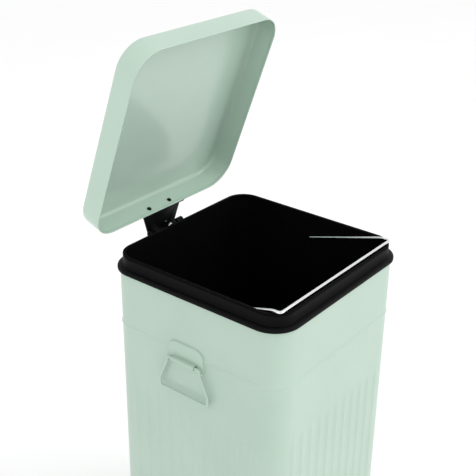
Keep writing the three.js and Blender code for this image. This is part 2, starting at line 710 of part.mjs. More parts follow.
function handlePlate() {
  const { plateHalf: w, plateUp: up, plateDown: down, sheet: t } = handle;
  const crown = 14;
  const foot = 4;
  const shape = new THREE.Shape();
  shape.moveTo(-w + foot, gripZ - down);
  shape.lineTo(w - foot, gripZ - down);
  shape.absarc(w - foot, gripZ - down + foot, foot, -Math.PI / 2, 0);
  shape.absarc(w - crown, gripZ + up - crown, crown, 0, Math.PI / 2);
  shape.absarc(-w + crown, gripZ + up - crown, crown, Math.PI / 2, Math.PI);
  shape.absarc(-w + foot, gripZ - down + foot, foot, Math.PI, 1.5 * Math.PI);
  const plate = stand(shape, plateBack - t, plateBack, 5);
  const half = grip.channelHalf;
  const bulge = barY(bailWire + runningGap + t, -half, half, gripX, gripZ, 16);
  const neck = block(gripX, plateBack - t / 2, -half, half, gripZ - bailWire - 1.5, gripZ + bailWire + 1.5);
  const bore = barY(bailWire + runningGap, -half - 1, half + 1, gripX, gripZ, 12);
  const hollow = block(gripX, plateBack - t, -half - 1, half + 1, gripZ - bailWire - 0.3, gripZ + bailWire + 0.3);
  return carve([plate, bulge, neck], [bore, hollow]);
}

function sideBail() {
  const at = (y, down) => new THREE.Vector3(gripX, y, gripZ - down);
  const end = 0.6; // the wire's two ends meet inside the channel
  const corners = [at(end, 0), at(grip.topHalf, 0), at(grip.topHalf, grip.straight),
    at(grip.bottomHalf, grip.straight + grip.flare), at(grip.bottomHalf, grip.bottom)];
  const mirrored = corners.map((p) => new THREE.Vector3(p.x, -p.y, p.z)).reverse();
  const loop = [...corners, ...mirrored];
  return new BentWire(loop, loop.map(() => grip.corner), 3).solidOf(bailWire, 8);
}

function sideHandle(side, turn) {
  const group = new THREE.Group();
  group.position.set(0, handle.y, 0);
  group.rotation.z = turn;
  group.add(named(`handle_plate_${side}`, handlePlate(), paint));
  group.add(named(`handle_bail_${side}`, sideBail(), paint));
  return group;
}

// ---------- assembly ----------

const bin = new THREE.Group();
bin.add(outerBody(), topCollar(), baseRingMesh(), leverHousing(), basePlateMesh(), ...feet());
bin.add(innerBucket(), bucketBail());
bin.add(lidGroup(), hingeBase(), ...hingeScrews(), damperHousing());
bin.add(pushRod(), rodCover(), ...coverScrews(), rodGuide());
bin.add(pedalGroup(), pivotBracket(), pivotPin(), pinClip());
bin.add(sideHandle('left', 0), sideHandle('right', Math.PI));

export default bin;
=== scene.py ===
# %% [markdown]
# # A square step-on bin, finished in Blender
# The working parts of this bin come from a CAD model: where each piece is, how it turns and what it
# touches is settled there. This lesson adds what a CAD model leaves out: rolled edges, bends with a
# real radius, moulded corners, and paint, plastic, wire and rubber that look like what they are.
# Everything is in metres, +Z up, with the bin's front at -Y and the hinge at +Y.

# %% Load the frame
import math
import bmesh
import bpy
from mathutils import Matrix, Vector


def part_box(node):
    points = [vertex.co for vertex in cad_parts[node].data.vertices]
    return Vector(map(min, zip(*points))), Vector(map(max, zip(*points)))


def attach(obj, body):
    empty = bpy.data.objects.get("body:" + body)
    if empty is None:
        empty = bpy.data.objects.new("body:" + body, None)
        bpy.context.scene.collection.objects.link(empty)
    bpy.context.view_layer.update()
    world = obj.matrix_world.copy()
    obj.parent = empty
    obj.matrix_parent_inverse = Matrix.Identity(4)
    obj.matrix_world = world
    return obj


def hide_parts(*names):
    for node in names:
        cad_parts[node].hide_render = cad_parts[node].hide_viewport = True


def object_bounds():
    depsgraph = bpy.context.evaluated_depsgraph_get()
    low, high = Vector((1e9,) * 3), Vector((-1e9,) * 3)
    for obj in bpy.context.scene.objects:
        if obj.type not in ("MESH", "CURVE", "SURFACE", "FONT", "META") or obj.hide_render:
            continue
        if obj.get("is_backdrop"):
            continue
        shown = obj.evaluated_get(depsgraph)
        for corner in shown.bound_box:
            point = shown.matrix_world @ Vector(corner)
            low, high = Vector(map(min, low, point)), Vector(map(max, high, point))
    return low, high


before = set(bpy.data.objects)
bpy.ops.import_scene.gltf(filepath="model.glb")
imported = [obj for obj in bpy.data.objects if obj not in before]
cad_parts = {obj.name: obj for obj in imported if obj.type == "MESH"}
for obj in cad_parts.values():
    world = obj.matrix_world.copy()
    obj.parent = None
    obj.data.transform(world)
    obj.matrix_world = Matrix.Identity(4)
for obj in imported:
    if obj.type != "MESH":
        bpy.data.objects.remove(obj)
cad_low, cad_high = (Vector(corner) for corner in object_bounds())
MM = 0.001

# %% [markdown]
# ## Sizes taken from the frame
# A size that the frame already holds is read from it, so a changed part moves its finish too.
# The few others are the maker's own: sheet thickness, bend radii, the pitch of the flutes.

# %% Driving sizes
_, ring_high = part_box("top_collar")
body_low, body_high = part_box("outer_body")
bucket_low, bucket_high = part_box("inner_bucket")
flute_depth_in_frame = 2.0 * MM
body_corner_radius = 35.5 * MM
body_half = body_high.x - flute_depth_in_frame
corner_centre = body_half - body_corner_radius
sheet = 0.8 * MM
lip_z = bucket_high.z
print(f"body {body_half / MM:.1f} mm half width, bucket lip at {lip_z / MM:.1f} mm")

# %% [markdown]
# ## Mesh helpers
# Nearly every piece of a pressed or moulded bin is a stack of level outlines, so one loft makes them
# all: each outline has the same number of points, and neighbours are joined by quads. Wires are one
# sweep, turned pieces one lathe, and flat stampings one extrusion whose edges are then rounded.

# %% Turn vertices and faces into a finished object
def make_object(name, verts, faces, sharp=32):
    mesh = bpy.data.meshes.new(name)
    mesh.from_pydata([tuple(v) for v in verts], [], faces)
    mesh.validate()
    bm = bmesh.new()
    bm.from_mesh(mesh)
    bmesh.ops.remove_doubles(bm, verts=bm.verts, dist=1e-7)
    bmesh.ops.recalc_face_normals(bm, faces=bm.faces)
    bm.to_mesh(mesh)
    bm.free()
    for polygon in mesh.polygons:
        polygon.use_smooth = True
    mesh.set_sharp_from_angle(angle=math.radians(sharp))
    obj = bpy.data.objects.new(name, mesh)
    bpy.context.scene.collection.objects.link(obj)
    return obj


def fit_in(obj, body, slot, material, *nodes):
    obj.data.materials.clear()
    obj.data.materials.append(material)
    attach(obj, body)
    if nodes:
        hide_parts(*nodes)
    print(f"{obj.name}: {len(obj.data.polygons)} faces on {body}")
    return obj


# %% Outlines and lofts
def rounded_outline(half_x, half_y, radius, z, arc=12, side=4):
    """A level rounded rectangle, counter-clockwise from above."""
    points = []
    for quarter, (sx, sy) in enumerate([(1, 1), (-1, 1), (-1, -1), (1, -1)]):
        for i in range(arc + 1):
            angle = (quarter + i / arc) * math.pi / 2
            points.append(Vector((sx * (half_x - radius) + radius * math.cos(angle),
                                  sy * (half_y - radius) + radius * math.sin(angle), z)))
        nx, ny = [(-1, 1), (-1, -1), (1, -1), (1, 1)][quarter]
        end = points[-1]
        angle = (quarter + 1) * math.pi / 2
        start_next = Vector((nx * (half_x - radius) + radius * math.cos(angle),
                             ny * (half_y - radius) + radius * math.sin(angle), z))
        points.extend(end.lerp(start_next, k / side) for k in range(1, side))
    return points


def square_outline(half, z, arc=12, side=4):
    """A rounded square on the body's own corner centres."""
    return rounded_outline(half, half, half - corner_centre, z, arc, side)


def loft(outlines, closed=False):
    """Joins level outlines by quads. Unless closed, both ends are filled by a fan."""
    count = len(outlines[0])
    verts = [p for outline in outlines for p in outline]
    faces = []
    for band in range(len(outlines) if closed else len(outlines) - 1):
        low, high = band * count, (band + 1) % len(outlines) * count
        for i in range(count):
            j = (i + 1) % count
            faces.append((low + i, low + j, high + j, high + i))
    if not closed:
        for first in (0, (len(outlines) - 1) * count):
            centre = sum((verts[first + i] for i in range(count)), Vector()) / count
            verts.append(centre)
            tip = len(verts) - 1
            faces.extend((tip, first + i, first + (i + 1) % count) for i in range(count))
    return verts, faces


def fillet_profile(points, radii, steps=5):
    """Rounds the corners of a profile of (half, z) pairs."""
    rounded = []
    count = len(points)
    for i, (point, radius) in enumerate(zip(points, radii)):
        here = Vector(point)
        before, after = Vector(points[i - 1]), Vector(points[(i + 1) % count])
        into, out = (before - here), (after - here)
        if radius <= 0:
            rounded.append(here)
            continue
        angle = into.angle(out)
        reach = min(radius / math.tan(angle / 2), 0.49 * into.length, 0.49 * out.length)
        start, end = here + into.normalized() * reach, here + out.normalized() * reach
        for k in range(steps + 1):
            t = k / steps
            rounded.append(start * (1 - t) ** 2 + here * 2 * t * (1 - t) + end * t ** 2)
    return rounded


# %% Wires, turned pieces and stampings
def bend_route(corners, radii, steps=7):
    """Straight runs between corners, each corner a smooth bend."""
    route = [Vector(corners[0])]
    for i in range(1, len(corners) - 1):
        here, before, after = Vector(corners[i]), Vector(corners[i - 1]), Vector(corners[i + 1])
        into, out = before - here, after - here
        half_turn = (math.pi - into.angle(out)) / 2
        reach = min(radii[i] * math.tan(half_turn), 0.48 * into.length, 0.48 * out.length)
        start, end = here + into.normalized() * reach, here + out.normalized() * reach
        for k in range(steps + 1):
            t = k / steps
            route.append(start * (1 - t) ** 2 + here * 2 * t * (1 - t) + end * t ** 2)
    route.append(Vector(corners[-1]))
    return route


def wire(name, route, radius, sides=20, dome=True):
    """A round wire along a route, with its ends slightly domed as a cropped wire's are."""
    tangents = []
    for i in range(len(route)):
        ahead = route[min(i + 1, len(route) - 1)] - route[min(i, len(route) - 2)]
        behind = route[max(i, 1)] - route[max(i - 1, 0)]
        tangents.append((ahead.normalized() + behind.normalized()).normalized())
    normal = tangents[0].orthogonal().normalized()
    rings = []
    for i, (point, tangent) in enumerate(zip(route, tangents)):
        if i:
            turn = tangents[i - 1].rotation_difference(tangent)
            normal = (turn @ normal).normalized()
        side = tangent.cross(normal)
        sections = [(point, 1.0)]
        if dome and i == 0:
            sections = [(point, 0.75), (point + tangent * radius * 0.18, 1.0)]
        if dome and i == len(route) - 1:
            sections = [(point - tangent * radius * 0.18, 1.0), (point, 0.75)]
        for centre, share in sections:
            rings.append([centre + (normal * math.cos(a) + side * math.sin(a)) * radius * share
                          for a in (2 * math.pi * k / sides for k in range(sides))])
    verts, faces = loft(rings)
    return make_object(name, verts, faces, sharp=50)


def turned(name, profile, sides=32, sharp=32):
    """A turned piece about +Z from (radius, z) pairs that start and end on the axis."""
    outlines = []
    for radius, z in profile:
        outlines.append([Vector((radius * math.cos(a), radius * math.sin(a), z))
                         for a in (2 * math.pi * k / sides for k in range(sides))])
    verts, faces = loft(outlines)
    return make_object(name, verts, faces, sharp)


def point_along(obj, direction, place):
    """Turns a piece made about +Z to face a direction, and puts it in place."""
    turn = Vector((0, 0, 1)).rotation_difference(Vector(direction)).to_matrix().to_4x4()
    obj.data.transform(Matrix.Translation(Vector(place)) @ turn)
    return obj


def round_edges(obj, width, segments=3, angle=35):
    bevel = obj.modifiers.new("rounded edges", "BEVEL")
    bevel.width = width
    bevel.segments = segments
    bevel.limit_method = "ANGLE"
    bevel.angle_limit = math.radians(angle)
    bevel.harden_normals = False
    return obj


# %% [markdown]
# ## Dressing a CAD part
# Some CAD pieces already have the right shape, such as the hinge's stampings. They keep their mesh;
# modifiers weld the loose triangles, break the sharp edges and shade the round stretches smoothly.

# %% Smooth shading by angle, as a small modifier
def angle_shading(degrees=30):
    group = bpy.data.node_groups.new(f"shade by {degrees} degrees", "GeometryNodeTree")
    group.interface.new_socket("Geometry", in_out="INPUT", socket_type="NodeSocketGeometry")
    group.interface.new_socket("Geometry", in_out="OUTPUT", socket_type="NodeSocketGeometry")
    nodes, link = group.nodes, group.links.new
    start, end = nodes.new("NodeGroupInput"), nodes.new("NodeGroupOutput")
    all_smooth, by_edge = nodes.new("GeometryNodeSetShadeSmooth"), nodes.new("GeometryNodeSetShadeSmooth")
    by_edge.domain = "EDGE"
    angle, flat_enough = nodes.new("GeometryNodeInputMeshEdgeAngle"), nodes.new("FunctionNodeCompare")
    flat_enough.operation = "LESS_THAN"
    flat_enough.inputs[1].default_value = math.radians(degrees)
    link(start.outputs[0], all_smooth.inputs["Geometry"])
    link(all_smooth.outputs[0], by_edge.inputs["Geometry"])
    link(angle.outputs["Unsigned Angle"], flat_enough.inputs[0])
    link(flat_enough.outputs[0], by_edge.inputs["Shade Smooth"])
    link(by_edge.outputs[0], end.inputs[0])
    return group


shading = angle_shading()


def dress(node, material, edge=0.35 * MM, segments=2):
    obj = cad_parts[node]
    weld = obj.modifiers.new("weld", "WELD")
    weld.merge_threshold = 0.002 * MM
    round_edges(obj, edge, segments, 40)
    obj.modifiers.new("shading", "NODES").node_group = shading
    obj.data.materials.clear()
    obj.data.materials.append(material)
    print(f"{node}: dressed with {material.name}")


print("helpers ready")

# %% [markdown]
# ## Shader maths
# A finish is a handful of textures added, multiplied and mixed. Written as node calls that is long and
# hard to follow, so one small class wraps a socket and lets numbers work as they do in Python.

# %% One class for sockets, one method for nodes
class Value:
    def __init__(self, finish, socket):
        self.finish, self.socket = finish, socket

    def _math(self, operation, first, second):
        return self.finish.node("ShaderNodeMath", {"operation": operation}, {0: first, 1: second})

    def __add__(self, other): return self._math("ADD", self, other)
    def __radd__(self, other): return self._math("ADD", other, self)
    def __sub__(self, other): return self._math("SUBTRACT", self, other)
    def __rsub__(self, other): return self._math("SUBTRACT", other, self)
    def __mul__(self, other): return self._math("MULTIPLY", self, other)
    def __rmul__(self, other): return self._math("MULTIPLY", other, self)
    def __pow__(self, other): return self._math("POWER", self, other)


class Finish:
    """A material with one Principled shader. Constants are set on its own sockets."""

    def __init__(self, name, **constants):
        self.material = bpy.data.materials.new(name)
        self.material.use_nodes = True
        self.tree = self.material.node_tree
        self.shader = self.tree.nodes["Principled BSDF"]
        for key, value in constants.items():
            self.shader.inputs[key.replace("_", " ")].default_value = value

    def node(self, kind, settings=None, sockets=None, output=0):
        made = self.tree.nodes.new(kind)
        for key, value in (settings or {}).items():
            if key == "stops":
                while len(made.color_ramp.elements) < len(value):
                    made.color_ramp.elements.new(0.5)
                for element, (position, grey) in zip(made.color_ramp.elements, value):
                    element.position, element.color = position, (grey, grey, grey, 1)
            else:
                setattr(made, key, value)
        for key, value in (sockets or {}).items():
            socket = self._find(made.inputs, key)
            if isinstance(value, Value):
                self.tree.links.new(value.socket, socket)
            else:
                socket.default_value = value
        return Value(self, self._find(made.outputs, output))

    @staticmethod
    def _find(sockets, key):
        if isinstance(key, int):
            return sockets[key]
        return next(s for s in sockets if key in (s.identifier, s.name))

    def place(self):
        return self.node("ShaderNodeTexCoord", output="Object")

    def noise(self, scale, detail=3, vector=None, roughness=0.5):
        sockets = {"Scale": scale, "Detail": detail, "Roughness": roughness, "Vector": vector or self.place()}
        return self.node("ShaderNodeTexNoise", {}, sockets, "Fac")

    def stretched(self, scale):
        return self.node("ShaderNodeMapping", {}, {"Vector": self.place(), "Scale": scale})

    def ramp(self, value, stops):
        return self.node("ShaderNodeValToRGB", {"stops": stops}, {"Fac": value}, "Color")

    def mix(self, factor, first, second):
        return self.node("ShaderNodeMix", {"data_type": "RGBA"},
                         {"Factor_Float": factor, "A_Color": first, "B_Color": second}, "Result_Color")

    def bump(self, height, distance, strength=1.0, under=None):
        sockets = {"Height": height, "Distance": distance, "Strength": strength}
        if under:
            sockets["Normal"] = under
        return self.node("ShaderNodeBump", {}, sockets, "Normal")

    def feed(self, **varying):
        for key, value in varying.items():
            self.tree.links.new(value.socket, self.shader.inputs[key.replace("_", " ")])
        return self.material


print("shader class ready")

# %% [markdown]
# ## Paint
# The steel is sprayed a pale mint and baked. Baked paint is never flat: it dries with a faint orange
# peel a millimetre or two across, it carries dust nibs, and its film varies a little in shade. A bump
# from two sizes of noise gives the peel, and a slow noise shifts colour and gloss by a few per cent.

# %% Mint paint
def mint_paint(name, shade=1.0, gloss=0.30, peel=1.0):
    paint = Finish(name, IOR=1.5, Coat_Roughness=0.12, Specular_IOR_Level=0.42)
    # shade scales the paint's colour. Its different values for body, lid and handles below are painted light,
    # not different paint.
    light = (0.455 * shade, 0.590 * shade, 0.500 * shade, 1)
    deep = (0.430 * shade, 0.565 * shade, 0.475 * shade, 1)
    cloud = paint.ramp(paint.noise(9, 4), [(0.35, 0), (0.65, 1)])
    nibs = paint.ramp(paint.noise(520, 2), [(0.70, 0), (0.78, 1)])
    colour = paint.mix(cloud, light, deep)
    gloss_map = gloss + 0.05 * cloud + 0.12 * nibs
    peel_map = paint.noise(420, 2) * 0.7 + paint.noise(1400, 2) * 0.3
    relief = paint.bump(peel_map, 0.05 * MM * peel, 0.6)
    relief = paint.bump(nibs, 0.02 * MM, 0.4, relief)
    film = 0.25 + 0.1 * cloud
    return paint.feed(Base_Color=colour, Roughness=gloss_map, Coat_Weight=film, Normal=relief)


# Body, lid and handle wires wear one mint paint. The lid's copy is painted lighter, and the handles' a little
# lighter than the body's, as painted light for how each part is lit.
body_paint = mint_paint("mint body paint", shade=0.90, gloss=0.40)
lid_paint = mint_paint("mint lid paint", shade=0.97, gloss=0.20)
wire_paint = mint_paint("mint handle paint", shade=0.92, gloss=0.33, peel=0.6)
print("paint:", body_paint.name, lid_paint.name, wire_paint.name)

# %% [markdown]
# ## Black plastic, coated steel, bright wire and rubber
# Moulded plastic copies its tool: a fine spark-eroded grain outside, flow marks where it is thick.
# Coated hinge steel is a little rougher, and its coat is thinner in scattered patches. Drawn wire is bright
# with fine lines along it. Rubber is dull, with a powdery bloom.

# %% Black finishes
def black_plastic(name, grain=1.0, gloss=0.42, shine=0.35):
    plastic = Finish(name, IOR=1.46, Specular_IOR_Level=shine)
    flow = plastic.noise(14, 5, roughness=0.6)
    fine = plastic.noise(1800, 3)
    colour = plastic.mix(flow, (0.0012, 0.0012, 0.0014, 1), (0.0024, 0.0024, 0.0028, 1))
    relief = plastic.bump(fine, 0.035 * MM * grain, 0.7)
    relief = plastic.bump(plastic.noise(60, 2), 0.06 * MM, 0.15, relief)
    return plastic.feed(Base_Color=colour, Roughness=gloss + 0.10 * flow + 0.06 * fine, Normal=relief)


def coated_steel(name):
    coat = Finish(name, IOR=1.5, Specular_IOR_Level=0.15)
    powder = coat.noise(2400, 2)
    worn = coat.ramp(coat.noise(90, 6, roughness=0.7), [(0.62, 0), (0.74, 1)])
    colour = coat.mix(worn * 0.3, (0.002, 0.002, 0.0024, 1), (0.02, 0.02, 0.021, 1))
    relief = coat.bump(powder, 0.05 * MM, 0.8)
    return coat.feed(Base_Color=colour, Roughness=0.46 - 0.1 * worn + 0.08 * powder, Normal=relief)


def black_rubber(name):
    rubber = Finish(name, IOR=1.45, Specular_IOR_Level=0.25)
    bloom = rubber.noise(45, 6, roughness=0.65)
    colour = rubber.mix(bloom, (0.012, 0.012, 0.012, 1), (0.028, 0.028, 0.027, 1))
    relief = rubber.bump(rubber.noise(900, 3), 0.06 * MM, 0.8)
    return rubber.feed(Base_Color=colour, Roughness=0.72 + 0.2 * bloom, Normal=relief)


ring_plastic = black_plastic("black ring plastic", shine=0.09)
bucket_plastic = black_plastic("black bucket plastic", grain=0.7, gloss=0.50, shine=0.04)
base_plastic = black_plastic("black base plastic", grain=1.4, gloss=0.5, shine=0.14)
hinge_steel = coated_steel("black coated steel")
rubber = black_rubber("black rubber")

# %% Bright finishes
def bright_steel(name, tone, rough, along=(1, 1, 1)):
    steel = Finish(name, Metallic=1.0)
    drawn = steel.noise(1, 4, steel.stretched(along))
    haze = steel.noise(120, 5, roughness=0.65)
    low, high = [(tone * k, tone * k * 1.005, tone * k * 1.02, 1) for k in (0.82, 1.0)]
    colour = steel.mix(haze, low, high)
    relief = steel.bump(drawn, 0.012 * MM, 0.5)
    return steel.feed(Base_Color=colour, Roughness=rough + 0.14 * haze * drawn, Normal=relief)


bail_steel = bright_steel("bright bail wire", 0.86, 0.10, (2600, 2600, 2600))
rod_steel = bright_steel("zinc plated rod", 0.74, 0.24, (3000, 3000, 60))
zinc = bright_steel("zinc plated steel", 0.72, 0.28, (900, 900, 900))
print("finishes:", len(bpy.data.materials))

# %% [markdown]
# ## Body shell
# The body is one sheet rolled into a square tube. Near the top a swaged bead stiffens it, and lower
# down vertical flutes are pressed into all four faces, dying out in a soft run below the bead. A
# loft follows both: each level outline is the rounded square, pushed out where a flute or bead is.

# %% Flutes and bead as formulas
flute_pitch = 21 * MM
flute_half, flute_depth = 6.8 * MM, 1.5 * MM
flute_count = int((corner_centre - 5 * MM) / flute_pitch)
flute_top, flute_full = lip_z - 188 * MM, lip_z - 213 * MM
bead_z = lip_z - 107 * MM
bead_rise, bead_half = 1.15 * MM, 4.0 * MM


def smoothstep(t):
    t = min(max(t, 0), 1)
    return t * t * (3 - 2 * t)


def flute_rise(u, z):
    """How far the sheet stands out at distance u from the middle of a face."""
    nearest = round(u / flute_pitch)
    if abs(nearest) > flute_count:
        return 0
    across = (u - nearest * flute_pitch) / flute_half
    if abs(across) >= 1:
        return 0
    fade = smoothstep((flute_top - z) / (flute_top - flute_full))
    narrow = max(fade, 0.02) ** 0.5
    shape = math.cos(math.pi / 2 * min(abs(across) / narrow, 1)) ** 2
    return flute_depth * fade * shape


def bead_out(z):
    t = (z - bead_z) / bead_half
    return bead_rise * math.cos(math.pi / 2 * t) ** 2 if abs(t) < 1 else 0


def body_outline(half, z):
    across = []
    for k in range(-flute_count, flute_count + 1):
        across += [k * flute_pitch + flute_half * s for s in (-1, -0.75, -0.5, -0.25, 0, 0.25, 0.5, 0.75, 1)]
    across = [u for u in across if abs(u) < corner_centre]
    radius = half - corner_centre
    points = []
    for quarter in range(4):
        turn = Matrix.Rotation(quarter * math.pi / 2, 3, "Z")
        face = [Vector((half + flute_rise(u, z), u, z)) for u in across]
        arc = [Vector((corner_centre + radius * math.cos(a), corner_centre + radius * math.sin(a), z))
               for a in (math.pi / 2 * k / 12 for k in range(13))]
        points += [turn @ p for p in face + arc]
    return points


def body_levels():
    levels = [body_low.z, body_low.z + 0.6 * MM, body_low.z + 60 * MM]
    levels += [flute_full + (flute_top - flute_full) * k / 10 for k in range(-1, 11)]
    levels += [bead_z + bead_half * k / 6 for k in range(-6, 7)]
    levels += [body_high.z - 0.5 * MM, body_high.z]
    return levels


outside = [body_outline(body_half + bead_out(z), z) for z in body_levels()]
inside = [body_outline(body_half - sheet + bead_out(z), z) for z in reversed(body_levels())]
shell = make_object("body_shell", *loft(outside + inside, closed=True), sharp=50)
fit_in(shell, "frame", "paint", body_paint, "outer_body")

# %% [markdown]
# ## Top ring
# A moulded ring snaps over the body's edge. It has a flange outside, a level landing for the lid and a
# concave sweep up to the upstand that the bucket's lip sits on. Its profile is drawn once and rounded.

# %% Top ring
ring_half = ring_high.x
upstand_half = bucket_high.x
seat_z = bucket_high.z - 2.8 * MM
landing_z = lip_z - 16.8 * MM
slot_z = body_high.z + 0.3 * MM
mould_wall = 2.2 * MM
inner_half = upstand_half - mould_wall
slot_in = body_half - sheet - 0.3 * MM
flange_low = lip_z - 23 * MM
ring_profile = fillet_profile([
    (ring_half, flange_low), (ring_half, landing_z - 1.2 * MM), (ring_half - 4.5 * MM, landing_z + 0.1 * MM),
    (upstand_half + 0.7 * MM, landing_z + 0.2 * MM), (upstand_half, landing_z + 8 * MM),
    (upstand_half, seat_z), (inner_half, seat_z), (inner_half, landing_z + 1.5 * MM),
    (slot_in - 1.7 * MM, slot_z - 0.6 * MM), (slot_in - 1.7 * MM, slot_z - 13 * MM),
    (slot_in, slot_z - 13 * MM), (slot_in, slot_z), (body_half + 0.3 * MM, slot_z),
    (body_half + 0.3 * MM, flange_low),
], [v * MM for v in (0.5, 3.2, 3.0, 2.4, 12, 0.4, 0.5, 2, 1, 0.6, 0.4, 0.2, 0.2, 0.3)], steps=7)
ring_outlines = [square_outline(h, z, 16) for h, z in ring_profile]
collar = make_object("top_ring", *loft(ring_outlines, closed=True), sharp=60)
fit_in(collar, "frame", "black_plastic", ring_plastic, "top_collar")

# %% [markdown]
# ## Lid
# The lid is a drawn steel pan. Its crown is almost flat, the shoulder is a generous radius, and the
# edge is turned under in a hem, so there is no raw sheet edge to cut a hand. It is lofted shut, around
# the same profile outside and in, then turned about the hinge to the angle the frame holds it at.

# %% Lid pan
lid_low, lid_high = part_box("lid_shell")
hinge_low, hinge_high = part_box("hinge_pin")
pin_centre = (hinge_low + hinge_high) / 2
hinge = Vector((0, pin_centre.y, pin_centre.z))
lid_open = math.radians(70)
lid_half_x, lid_half_y, lid_mid_y = 145.5 * MM, 149.5 * MM, -1 * MM
lid_rim_z = lip_z - 16 * MM
lid_skirt, shoulder = 28 * MM, 8 * MM
lid_top_z = lid_rim_z + lid_skirt + shoulder
lid_corner = 40 * MM
crown_rise = 4 * MM
hem_thick, hem_depth = 1.4 * MM, 4 * MM
pan_sheet = 0.8 * MM


def lid_profile():
    """(inset, z) round the pan's section, from the crown's edge outside, round the hem, to inside."""
    outer = [(shoulder * (1 - math.cos(a)), lid_rim_z + lid_skirt + shoulder * math.sin(a))
             for a in (math.pi / 2 * (1 - k / 12) for k in range(13))]
    hem_mid = hem_thick / 2
    rolled = [(hem_mid - hem_mid * math.cos(a), lid_rim_z + hem_mid - hem_mid * math.sin(a))
              for a in (math.pi * k / 8 for k in range(9))]
    hem_top = [(hem_thick, lid_rim_z + hem_depth - 0.3 * MM), (hem_thick - 0.25 * MM, lid_rim_z + hem_depth),
               (pan_sheet, lid_rim_z + hem_depth + 0.02 * MM)]
    reach = shoulder - pan_sheet
    inner = [(pan_sheet + reach * (1 - math.cos(a)), lid_rim_z + lid_skirt + reach * math.sin(a))
             for a in (math.pi / 2 * k / 12 for k in range(13))]
    return outer, rolled + hem_top, inner


def lid_outline(inset, z):
    radius = max(lid_corner - inset, 2 * MM)
    ring = rounded_outline(lid_half_x - inset, lid_half_y - inset, radius, z, arc=14, side=10)
    return [p + Vector((0, lid_mid_y, 0)) for p in ring]


def crown_levels(rise, top_z, first_inset, outward):
    """Outlines from the shoulder's end towards the middle, domed by the crown's rise."""
    levels = []
    for k in range(1, 9):
        share = k / 8.5
        inset = first_inset + (lid_half_x - first_inset) * share
        z = top_z + rise * (1 - (1 - share) ** 2)
        levels.append((inset, z))
    return levels if outward else levels[::-1]


def crown_outline(inset, z):
    shrink = (inset - shoulder) / (lid_half_x - shoulder)
    scale = 1 - shrink
    base = lid_outline(shoulder, z)
    return [Vector((p.x * scale, lid_mid_y + (p.y - lid_mid_y) * scale, z)) for p in base]


outer, hem, inner = lid_profile()
top_side = [crown_outline(i, z) for i, z in crown_levels(crown_rise, lid_top_z, shoulder, False)]
under_side = [crown_outline(i, z) for i, z in crown_levels(crown_rise, lid_top_z - pan_sheet, shoulder, True)]
pan_levels = top_side + [lid_outline(i, z) for i, z in outer + hem + inner] + under_side
lid = make_object("lid_pan", *loft(pan_levels), sharp=40)
opening_turn = Matrix.Translation(hinge) @ Matrix.Rotation(-lid_open, 4, "X") @ Matrix.Translation(-hinge)
lid.data.transform(opening_turn)
fit_in(lid, "lid", "paint", lid_paint, "lid_shell")
spread = [max(abs(v.co[i]) for v in lid.data.vertices) for i in range(3)]
print("lid reaches", [round(s / MM, 1) for s in spread], "CAD", lid_low, lid_high)

# %% [markdown]
# ## Bucket
# The bucket is one thin moulding, drafted so that it leaves its tool. It hangs by a turned-out lip
# and its corners tighten towards the bottom. The lip's edge is rounded over, so light catches a fine
# line along it.

# %% Bucket moulding
wall = 1.8 * MM
mouth_half = upstand_half - 4.6 * MM
bucket_bottom_half = 117.5 * MM
floor_z = bucket_low.z
under_lip_z = lip_z - 2.5 * MM


def wall_at(z):
    """Half width and corner radius of the bucket's outer wall at a height."""
    share = (z - floor_z - 8 * MM) / (under_lip_z - floor_z - 8 * MM)
    half = bucket_bottom_half + (mouth_half + wall - bucket_bottom_half) * share
    return half, 22 * MM + 2.5 * MM * share


def wall_outline(z, inset=0.0):
    half, corner = wall_at(z)
    return rounded_outline(half - inset, half - inset, max(corner - inset, 2 * MM), z, arc=14, side=6)


def lip_outline(half, z):
    return rounded_outline(half, half, half - corner_centre, z, arc=14, side=6)


def foot_outlines(inset, bottom):
    """The moulded radius between wall and floor, from a quarter circle of 8 mm."""
    rings = []
    for k in range(7):
        angle = math.pi / 2 * k / 6
        z = bottom + 8 * MM * (1 - math.cos(angle))
        ring = wall_outline(floor_z + 8 * MM, inset + 8 * MM * (1 - math.sin(angle)))
        rings.append([Vector((p.x, p.y, z)) for p in ring])
    return rings


below_lip = (480, 420, 330, 240, 160, 90, 50, 24, 10, 4)
bucket_levels = foot_outlines(0, floor_z)
bucket_levels += [wall_outline(lip_z - t * MM) for t in below_lip]
bucket_levels += [lip_outline(mouth_half + wall, under_lip_z)]
bucket_levels += [lip_outline(upstand_half - inset * MM, lip_z - drop * MM) for inset, drop in (
    (0.5, 2.5), (0.12, 2.3), (0, 1.8), (0, 0.9), (0.12, 0.4), (0.45, 0.1), (0.9, 0))]
bucket_levels += [lip_outline(mouth_half + inset * MM, lip_z - drop * MM) for inset, drop in (
    (1.0, 0), (0.4, 0.12), (0.1, 0.4), (0, 0.9))]
bucket_levels += [wall_outline(lip_z - t * MM, wall) for t in reversed(below_lip)]
bucket_levels += foot_outlines(wall, floor_z + wall)[::-1]
bucket = make_object("bucket_moulding", *loft(bucket_levels), sharp=35)
fit_in(bucket, "bucket", "black_plastic", bucket_plastic, "inner_bucket")

# %% [markdown]
# ## Bucket bail
# The bail is one length of bright wire. It runs round the front of the lip, back and down inside the
# side walls, and each end turns out into a hole in a moulded boss. So the wire is one sweep round
# a bent route, and the boss is turned with a proper hole down its middle.

